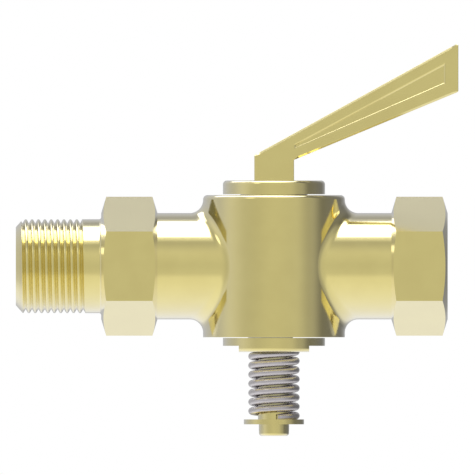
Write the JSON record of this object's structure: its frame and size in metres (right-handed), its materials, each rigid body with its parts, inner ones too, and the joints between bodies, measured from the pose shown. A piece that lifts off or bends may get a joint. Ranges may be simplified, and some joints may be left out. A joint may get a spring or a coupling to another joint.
{
  "type": "shut-off cock",
  "caption": "Brass plug cock for a pipe run: male thread, female socket, tapered plug turned by a raised lever and held in its seat by a spring under the barrel.",
  "frame": {"origin": "where the pipe axis crosses the plug axis, at the middle of the waterway", "axes": "+X along the pipe towards the female end, +Z along the plug axis towards the lever, +Y away from the side that the picture shows"},
  "size_m": [0.1257, 0.0402, 0.1113],
  "materials": {
    "body_brass": "machined, smooth",
    "plug_brass": "turned, smooth",
    "lever_brass": "smooth, with rounded edges",
    "washer_brass": "turned, smooth",
    "screw_brass": "turned, smooth",
    "spring_steel": "drawn wire, bright"
  },
  "bodies": {
    "valve_body": {"valve_body": "body_brass"},
    "key_washer": {"key_washer": "washer_brass", "spring": "spring_steel"},
    "plug": {"plug": "plug_brass", "lever_handle": "lever_brass", "retainer_washer": "washer_brass", "retaining_screw": "screw_brass"}
  },
  "joints": [
    {"name": "plug_turn", "type": "hinge", "parent": "valve_body", "child": "key_washer", "pos_m": [0, 0, 0], "axis": [0, 0, 1], "continuous": true},
    {"name": "plug_lift", "type": "slide", "parent": "key_washer", "child": "plug", "axis": [0, 0, 1], "range_m": [0, 0.0015], "stiffness_N_per_m": 15100, "springref_m": -0.004, "deforming": ["spring"]}
  ]
}
